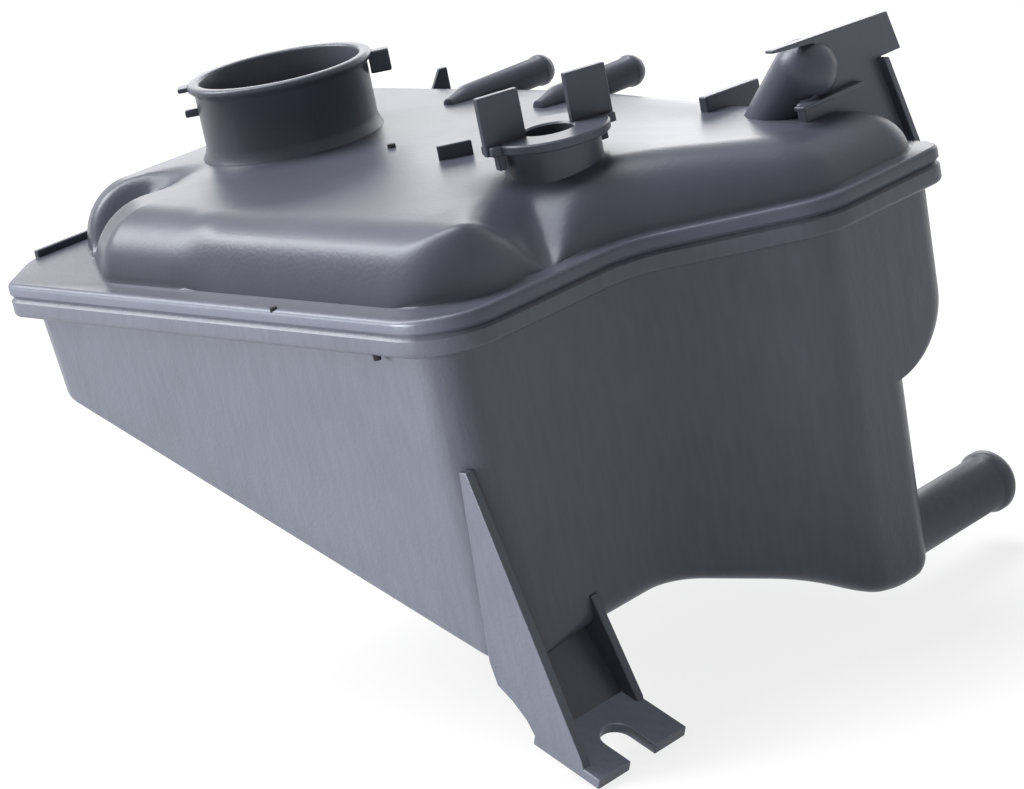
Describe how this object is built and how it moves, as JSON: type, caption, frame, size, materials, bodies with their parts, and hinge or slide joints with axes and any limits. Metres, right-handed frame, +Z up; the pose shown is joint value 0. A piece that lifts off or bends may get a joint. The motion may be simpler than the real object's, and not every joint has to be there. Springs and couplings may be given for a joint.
{
  "type": "coolant expansion tank",
  "caption": "Wedge-shaped coolant expansion tank of two welded plastic shells, with filler neck, level sensor port, hose spigots, bracket and fork foot.",
  "frame": {"origin": "centre of the filler neck's mouth", "axes": "+Z up along the filler neck, +Y along the tank's length from its deep end to its shallow end, +X across the tank towards the side of the outlet"},
  "size_m": [0.202, 0.267, 0.1882],
  "materials": {
    "upper_moulding": "satin moulded polypropylene, dark grey",
    "lower_moulding": "satin moulded polypropylene, dark grey with a faint mottle"
  },
  "bodies": {
    "root": {"upper_shell": "upper_moulding", "lower_shell": "lower_moulding"}
  },
  "joints": []
}
